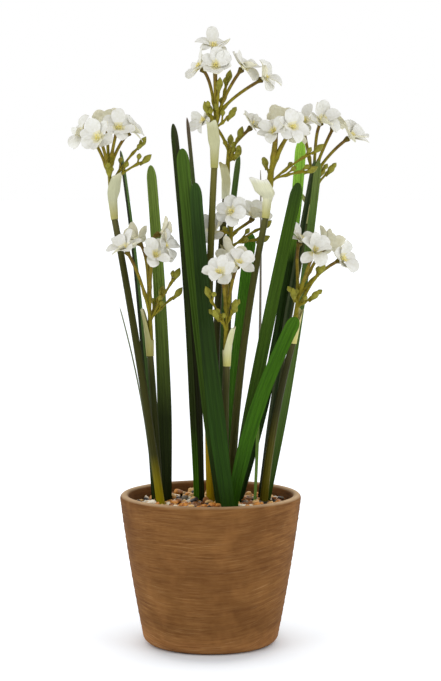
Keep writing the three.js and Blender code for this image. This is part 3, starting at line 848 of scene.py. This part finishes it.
def limb_shares(limb, rows, crowding=1.0, over=0.0):
    """Shares from below the gravel to the tip or over it, crowded toward the tip"""
    length = limb.tip[2] - GROUND
    shares = 1 - (1 - np.linspace(0, 1, rows)) ** crowding
    shares[-1] += over / length
    return np.append(-SUNK / length, shares)


def stem(name, limb):
    heap = Heap()
    shares = limb_shares(limb, STEM.rows, over=STEM.over)
    places, tangents = limb_line(limb, shares)
    radii = lerp(STEM.foot, STEM.tip, shares)
    tube(heap, places, tangents, radii, STEM, 0, np.clip(shares, 0, 1))
    rise = STEM_RISES.get(name, STEM_RISE)
    skin = ribbed(f"stem_{name}_skin", STEM_COLOURS[name], rise, **STEM_SKIN)
    heap.build(f"stem_{name}_ribbed", [skin], "stem", f"stem_{name}")


def leaf(name, limb, draw):
    """A strap leaf: a channelled, ribbed blade with a narrow foot and a rounded tip"""
    heap = Heap()
    shares = limb_shares(limb, LEAF.rows, LEAF.crowding)
    places, tangents = limb_line(limb, shares)
    t = np.clip(shares, 0, 1)
    across, face = section_axes(tangents, lerp(*limb.turn, t))
    pace, phase = draw(*LEAF.wave_paces), draw(*PHASES)
    wave = (np.sin(math.pi * t) * np.sin(pace * t + phase))[:, None]
    places = places + LEAF.wave * wave * face
    foot = lerp(LEAF.foot_share, 1, smooth(t, 0, LEAF.foot_end))
    width = lerp(*limb.width, t) * foot * np.sqrt(1 - past(t, LEAF.point_start) ** 2)
    half = np.maximum(LEAF.tip_width, width)[:, None] / 2
    u = np.sin(np.linspace(-math.pi / 2, math.pi / 2, LEAF.columns))[None, :]
    channel = LEAF.channel * half * (u ** 2 - LEAF.channel_mid)
    thick = np.minimum(LEAF.thickness, LEAF.thin_share * half)
    thick = thick * np.sqrt(np.maximum(0, 1 - u ** 6))
    ribs = LEAF.rib_depth * np.cos(math.pi * LEAF.ribs * u)
    ribs = ribs * np.minimum(1, half / LEAF.full_ribs) * (1 - u ** 4)
    front, back = channel + thick / 2 + ribs, channel - thick / 2 + ribs
    inner = slice(-2, 0, -1)
    side = np.concatenate([half * u, (half * u)[:, inner]], axis=1)
    rise = np.concatenate([front, back[:, inner]], axis=1)
    loops = places[:, None] + side[..., None] * across[:, None] + rise[..., None] * face[:, None]
    loft(heap, loops, 0, t, np.concatenate([u[0], u[0, inner]]))
    skin = ribbed(
        f"leaf_{name}_skin", LEAF_COLOURS[name], LEAF_RISES.get(name, LEAF_RISE), **LEAF_SKIN,
        half=LEAF_LIT_AND_SHADED_HALVES.get(name),
    )
    heap.build(f"leaf_{name}_blade", [skin], "leaf", f"leaf_{name}")


def spathe_axis(limb):
    """Axis of a stem's sleeve, its start just above the stem's tip, and its mouth"""
    _, tangents = limb_line(limb, [1.0])
    axis = unit(tangents[0] + [0, 0, 1])
    start = np.array(limb.tip, float) + 2 * GAP * axis
    return axis, start, start + SPATHE.length * axis


def spathe(name, limb, draw):
    """A papery sleeve that runs up on one side into a broad, blunt bract"""
    heap = Heap()
    axis, start, _ = spathe_axis(limb)
    swing, lean, length, width = limb.bract
    toward = unit(direction(swing, 90) - axis * (direction(swing, 90) @ axis))
    aside = np.cross(axis, toward)
    total = SPATHE.length + length
    angles = np.linspace(-math.pi, math.pi, SPATHE.sides, endpoint=False)[:, None]
    crest = 1 - smooth(np.abs(np.degrees(angles)), *CRESTS.get(name, SPATHE.crest))
    wave = np.sin(SPATHE.ripples * angles + draw(*PHASES))
    rim = lerp(SPATHE.low, total, crest) * (1 + SPATHE.ripple * wave * crest)
    heights = rim * np.linspace(0, 1, SPATHE.rows)[None, :]
    radius = lerp(SPATHE.foot, SPATHE.mouth, np.clip(heights / SPATHE.length, 0, 1))
    spread = smooth(heights, *SPATHE.spread)
    radius = lerp(radius, width / 2, spread)
    few, many = SPATHE.folds
    folds = np.sin(few * angles + draw(*PHASES))
    folds = folds + np.sin(many * angles + heights * SPATHE.fold_lean)
    radius = radius + SPATHE.fold * folds * lerp(SPATHE.fold_foot, 1, spread)
    bent = SPATHE.length - SPATHE.bend
    upright = np.minimum(heights, bent)
    beyond = np.maximum(heights - bent, 0)
    curl = SPATHE.curl * (beyond / (total - bent)) ** 2

    def wall(inset):
        out = (radius - inset) * np.cos(angles) + curl
        wide = (radius - inset) * np.sin(angles)
        lift = upright[..., None] * axis + beyond[..., None] * direction(swing, lean)
        return start - axis + lift + out[..., None] * toward + wide[..., None] * aside

    loops = np.concatenate([wall(0), wall(SPATHE.wall)[:, ::-1]], axis=1)
    loft(heap, loops, wrap=True)
    heap.along = [np.concatenate([heights, heights[:, ::-1]], axis=1).ravel() / total]
    heap.across = [np.repeat(np.abs(angles[:, 0]) / math.pi, loops.shape[1])]
    skin = ribbed(f"sleeve_{name}_skin", SLEEVE_COLOURS[name], SLEEVE_RISE, **SLEEVE_SKIN)
    heap.build(f"spathe_{name}_sleeve", [skin], "spathe", f"spathe_{name}")


# Flower heads

def stalk_curve(fork, axis, end, facing):
    """A stalk leaves its fork between upright and outward, and arrives along a facing"""
    reach = np.linalg.norm(end - fork)
    outward = (end - fork) / reach
    rise = fork + unit(axis + outward) * reach * STALK.rise
    approach = end - facing * reach * STALK.approach
    return [fork, rise, approach, end]


def knotted(shares, length, radius, knots, swell):
    """Radii of a stalk that swells at its knots"""
    offsets = [(shares - knot) * length / STALK.knot_length for knot in knots]
    return radius + swell * sum(np.exp(-(offset ** 2)) for offset in offsets)


def tepal(heap, throat, axes, angle, lift, half_width, size, draw):
    """A thin cupped blade that rises from the throat, spreads outward and curls"""
    v = np.linspace(0, 1, TEPAL.rows) ** TEPAL.crowding
    u = np.sin(np.linspace(-math.pi / 2, math.pi / 2, TEPAL.columns))[None, :]
    lift = lift + TEPAL.lift_play * draw(-1, 1)
    curl = draw(*TEPAL.curls)
    funnel = (TEPAL.funnel - lift) * np.exp(-v / TEPAL.funnel_share)
    slope = lift - TEPAL.curl_start * curl + funnel + curl * v ** TEPAL.curl_power
    ahead, above = np.cos(np.radians(slope)), np.sin(np.radians(slope))
    spread = np.sum(ahead * np.diff(v, prepend=0))
    reach = BLOOM.radius * size - TEPAL.root
    length = reach * min(TEPAL.stretch, draw(*TEPAL.length_play) / spread)
    step = np.diff(v, prepend=0) * length
    out = TEPAL.root + np.cumsum(ahead * step)
    up = np.cumsum(above * step)
    swell = lerp(TEPAL.claw, 1.0, smooth(v, 0.0, TEPAL.broad_from))
    round_end = np.sqrt(np.maximum(0, 1 - past(v, TEPAL.round_from) ** TEPAL.round_power))
    widest = half_width * size * draw(*TEPAL.width_play)
    half = np.maximum(TEPAL.edge, widest * swell * round_end)[:, None]
    across, along = half * u, v[:, None]
    paces, phases = draw(*TEPAL.ruffle_paces, 2), draw(*PHASES, 2)
    left, right = [np.sin(pace * along + phase) for pace, phase in zip(paces, phases)]
    ruffle = TEPAL.ruffle * along * u ** 2 * np.where(u < 0, left, right)
    crease = -TEPAL.crease * np.exp(-(u / TEPAL.crease_width) ** 2) * np.sin(math.pi * along)
    twist = math.radians(TEPAL.twist * draw(-1, 1)) * along
    rise = draw(*TEPAL.cups) * half * u ** 2 + ruffle + crease + across * np.sin(twist)
    point = TEPAL.point * length * np.exp(-(u / TEPAL.point_width) ** 2)
    point = point * smooth(along, TEPAL.point_from, 1.0)
    thick = TEPAL.thickness * np.sqrt(np.maximum(0.05, 1 - u ** 2))
    ahead, above = ahead[:, None], above[:, None]

    def face(offset):
        lifted = rise + offset
        radial = out[:, None] + point * ahead - lifted * above
        height = up[:, None] + point * above + lifted * ahead
        return np.stack([radial, across * np.cos(twist), height], axis=-1)

    loops = np.concatenate([face(thick), face(-thick)[:, -2:0:-1]], axis=1)
    tones = np.tile(np.digitize(v[1:], TEPAL.tone_ends)[:, None], loops.shape[1])
    # Painted shade: the back faces take the tone of the shaded petal backs
    tones[:, TEPAL.columns - 1:] = TEPAL.back_tone
    loft(heap, throat + loops @ (axes @ spun(angle)).T, tones)


def cup(heap, throat, axes, size, draw):
    """The small ruffled cup in the throat"""
    angles = round_angles(CUP.sides)[:, None]
    share = np.linspace(0, 1, CUP.rows)[None, :]
    ruffle = CUP.ruffle * np.sin(CUP.lobes * angles + draw(*PHASES)) * share ** 2
    radius = np.maximum(CUP.throat, size * CUP.rim * share ** CUP.flare + ruffle)
    height = size * CUP.height * share ** CUP.dish + CUP.rim_wave * ruffle + CUP.lift

    def wall(inset):
        return rounded(radius - inset, angles, height)

    loops = np.concatenate([wall(0), wall(CUP.wall)[:, ::-1]], axis=1)
    loft(heap, throat + loops @ axes.T, wrap=True)


def stamens(heap, throat, axes, size, draw):
    """Threads that spread from the throat, each with an anther at its end"""
    play = STAMEN.swing_play
    for i in range(STAMEN.count):
        swing = 360 * (i + draw(-play, play)) / STAMEN.count
        along = axes @ direction(swing, STAMEN.spread * draw(*STAMEN.spread_play))
        length = STAMEN.length * size * draw(*STAMEN.length_play)
        heights = np.linspace(STAMEN.foot, length, STAMEN.rows)
        radii = np.full(STAMEN.rows, STAMEN.radius)
        turned(heap, throat, aim(along), heights, radii, STAMEN.sides)
        bends = np.linspace(0, math.pi, STAMEN.anther_rows)
        radii = np.maximum(STAMEN.anther_tip, STAMEN.anther * np.sin(bends))
        heights = -STAMEN.anther_reach * np.cos(bends)
        end = throat + along * length
        turned(heap, end, aim(along), heights, radii, STAMEN.anther_sides, 1)


def calyx(heap, throat, axes):
    """The lobed swelling that carries the petals"""
    heights = (np.array(CALYX.shares) - 1) * CALYX.length - CALYX.drop
    radii = CALYX.radius * np.array(CALYX.widths)
    turned(heap, throat, axes, heights, radii, CALYX.sides, 0, CALYX.lobes, CALYX.lobe_depth)


def bloom(heaps, hub, fork, axis, row, girth, roll, draw):
    """A bloom on its stalk, placed by swing, lean and reach from the hub"""
    swing, lean, reach, *face = row
    facing = direction(*face)
    throat = hub + direction(swing, lean) * reach - facing * BLOOM.set_back
    spin = FULL_TURN * roll()
    size = 1 + BLOOM.size_spread * (2 * roll() - 1)
    axes = aim(facing, spin)
    shares = np.linspace(0, 1, STALK.rows)
    curve = stalk_curve(fork, axis, throat - facing * STALK.neck, facing)
    places, tangents = bezier(curve, shares)
    radii = lerp(STALK.radius * girth, STALK.end_radius, shares)
    radii = knotted(shares, reach, radii, [draw(*STALK.knots)], STALK.knot)
    changes = [draw(*STALK.tawny_from), draw(*STALK.brown_from)]
    tube(heaps["stalks"], places, tangents, radii, STALK, np.digitize(shares[1:], changes)[:, None])
    calyx(heaps["calyxes"], throat, axes)
    tilt, high_side = draw(0, BLOOM.tilt), draw(0, FULL_TURN)
    for i in range(BLOOM.tepals):
        whorl = i % 2
        wobble = math.radians(BLOOM.wobble * draw(-1, 1))
        angle = FULL_TURN * i / BLOOM.tepals + wobble
        lift = BLOOM.lifts[whorl] + tilt * math.cos(angle - high_side)
        tepal(heaps["petals"], throat, axes, angle, lift, TEPAL.half_widths[whorl], size, draw)
    cup(heaps["cups"], throat, axes, size, draw)
    stamens(heaps["stamens"], throat, axes, size, draw)


def bud(heap, foot, along, length, radius):
    """A taper that swells and closes in a point, with seams along it"""
    shares = np.linspace(0, 1, BUD.rows)
    swell = lerp(BUD.foot, 1, smooth(shares, *BUD.swell))
    close = 1 - past(shares, BUD.close_from) ** BUD.close_power
    radii = np.maximum(BUD.point, swell * close * radius)
    tones = np.digitize(shares[1:], [BUD.green_from])[:, None]
    heights, axes = shares * length, aim(along)
    turned(heap, foot, axes, heights, radii, BUD.sides, tones, BUD.seams, BUD.seam_depth)


def side_bud(heaps, start, toward):
    """A small bud on a stem of its own"""
    stem_end = start + toward * SIDE_BUD.length * SIDE_BUD.stem
    shares = np.linspace(0, 1, SIDE_BUD.rows)
    line = lerp(start, stem_end, shares[:, None])
    radii = lerp(*SIDE_BUD.stem_radii, shares)
    tube(heaps["stalks"], line, toward, radii, SIDE_BUD)
    foot = lerp(start, stem_end, SIDE_BUD.covered_from)
    length = SIDE_BUD.length * (1 - SIDE_BUD.stem * SIDE_BUD.covered_from)
    bud(heaps["buds"], foot, toward, length, SIDE_BUD.radius)


def bud_twig(heaps, hub, fork, axis, row, roll):
    """A twig with an end bud, and side buds whose places and angles come from the dice"""
    swing, lean, reach = row
    outward = direction(swing, lean)
    end = hub + outward * (reach - BUD.length * (1 - BUD.sink))
    curve = stalk_curve(fork, axis, end, outward)
    bud_foot = end - outward * (BUD.length * BUD.sink + BUD.tail)
    bud(heaps["buds"], bud_foot, outward, BUD.length + BUD.tail, BUD.radius)
    shares = np.linspace(0, 1, TWIG.rows)
    knots, kink = [], np.zeros(TWIG.rows)
    for i in range(SIDE_BUD.count):
        knot = (i + 1 + SIDE_BUD.play * roll()) / (SIDE_BUD.count + 1)
        side_swing = swing + SIDE_BUD.swing * (roll() - 0.5)
        toward = direction(side_swing, lean + SIDE_BUD.lean * (roll() - 0.5))
        side_bud(heaps, bezier(curve, [knot])[0][0], toward)
        kink += (-1) ** i * np.maximum(0, 1 - np.abs(shares - knot) / TWIG.kink_share)
        knots.append(knot)
    places, tangents = bezier(curve, shares)
    across, _ = section_axes(tangents)
    places = places + TWIG.kink * kink[:, None] * across
    radii = knotted(shares, reach, TWIG.radius, knots, TWIG.knot)
    tube(heaps["stalks"], places, tangents, radii, TWIG)


def flower_head(name, limb, head, seed):
    """Bud twigs, then blooms, fork off a short stem one above another"""
    roll = dice(seed)
    draw = np.random.default_rng(seed).uniform
    axis, _, mouth = spathe_axis(limb)
    hub = mouth + axis * GAP - direction(limb.bract[0], 90) * HEAD_STEM.offset
    top = hub + axis * HEAD_STEM.length
    heaps = {kind: Heap() for kind in HEAD_SKINS}
    shares = np.linspace(-HEAD_STEM.root / HEAD_STEM.length, 1, HEAD_STEM.rows)
    line = lerp(hub, top, shares[:, None])
    girth = HEAD_GIRTHS.get(name, 1.0)
    radii = HEAD_STEM.radius * (1 - HEAD_STEM.taper * np.clip(shares, 0, 1))
    radii = radii * lerp(1, girth, smooth(shares, *HEAD_STEM.thick_from))
    tube(heaps["stalks"], line, axis, radii, HEAD_STEM)
    twigs, blooms = head.twigs, head.blooms
    last = len(twigs) + len(blooms) - 1
    forks = [lerp(hub, top, lerp(*HEAD_STEM.forks, i / last)) for i in range(last + 1)]
    for fork, row in zip(forks, twigs):
        bud_twig(heaps, hub, fork, axis, row, roll)
    for fork, row in zip(forks[len(twigs):], blooms):
        bloom(heaps, hub, fork, axis, row, girth, roll, draw)
    for kind, heap in heaps.items():
        nodes = [f"flowers_{name}"] if kind == "petals" else []
        heap.build(f"{kind}_{name}", HEAD_SKINS[kind], "flower", *nodes)


# Stage

def floor():
    """A wide white floor that glows though it is no lamp: faintly near the pot and more away from it,
    which paints the pot's contact shadow, reaching farther in front and behind than at the sides
    """
    bpy.ops.mesh.primitive_plane_add(size=FLOOR.size)
    plane = bpy.context.object
    plane.name = "floor"
    skin = Skin("floor_glowing_painted_shadow", 0.9, 0.1)
    skin.set("Base Color", FLOOR.colour)
    skin.set("Emission Color", (1, 1, 1, 1))
    places = {0: skin.places((1, FLOOR.depth, 1))}
    far = skin.node("ShaderNodeVectorMath", places, operation="LENGTH").outputs["Value"]
    stops = [(radius / FLOOR.far, (glow, glow, glow, 1)) for radius, glow in FLOOR.glow]
    skin.set("Emission Strength", skin.ramp(skin.span(far, 0, FLOOR.far), stops))
    plane.data.materials.append(skin.material)


def softbox(name, place):
    light = bpy.data.lights.new(name, "AREA")
    light.shape = "DISK"
    light.size = SOFTBOX.size
    light.energy = SOFTBOX.power
    lamp = placed(name, light)
    lamp.location = place
    toward = Vector(SOFTBOX.target) - Vector(place)
    lamp.rotation_mode = "QUATERNION"
    lamp.rotation_quaternion = toward.to_track_quat("-Z", "Y")


def world():
    """A white studio all round, dimmer on the front side above the horizon"""
    scene = bpy.context.scene
    scene.world = bpy.data.worlds.new("studio")
    scene.world.use_nodes = True
    studio = Nodes(scene.world.node_tree)
    _, y, z = studio.split(studio.node("ShaderNodeTexCoord").outputs["Generated"])
    dimming = studio.span(y, *WORLD.turn, WORLD.front - 1, WORLD.back - 1)
    above = studio.span(z, *WORLD.horizon)
    sky = studio.tree.nodes["Background"]
    studio.give((1, 1, 1, 1), sky.inputs["Color"])
    studio.give(studio.calc("MULTIPLY_ADD", dimming, above, 1), sky.inputs["Strength"])
    scene.view_settings.view_transform = "Standard"


def camera():
    data = bpy.data.cameras.new("camera")
    data.lens = CAMERA.lens
    data.sensor_width = CAMERA.sensor
    eye = placed("camera", data)
    eye.location = CAMERA.place
    eye.rotation_euler = (math.radians(90 - CAMERA.pitch), 0, 0)
    bpy.context.scene.camera = eye


def main():
    camera()
    floor()
    world()
    for name, place in SOFTBOX_PLACES.items():
        softbox(name, place)
    pot()
    gravel()
    filling = frame["nodes"]["filling"].data.materials
    filling.clear()
    filling.append(soil())
    draw = np.random.default_rng(SEED + 1).uniform
    for index, (name, limb) in enumerate(STEMS.items()):
        stem(name, limb)
        spathe(name, limb, draw)
        flower_head(name, limb, HEADS[name], SEED + index + 1)
    for name, limb in LEAVES.items():
        leaf(name, limb, draw)


main()
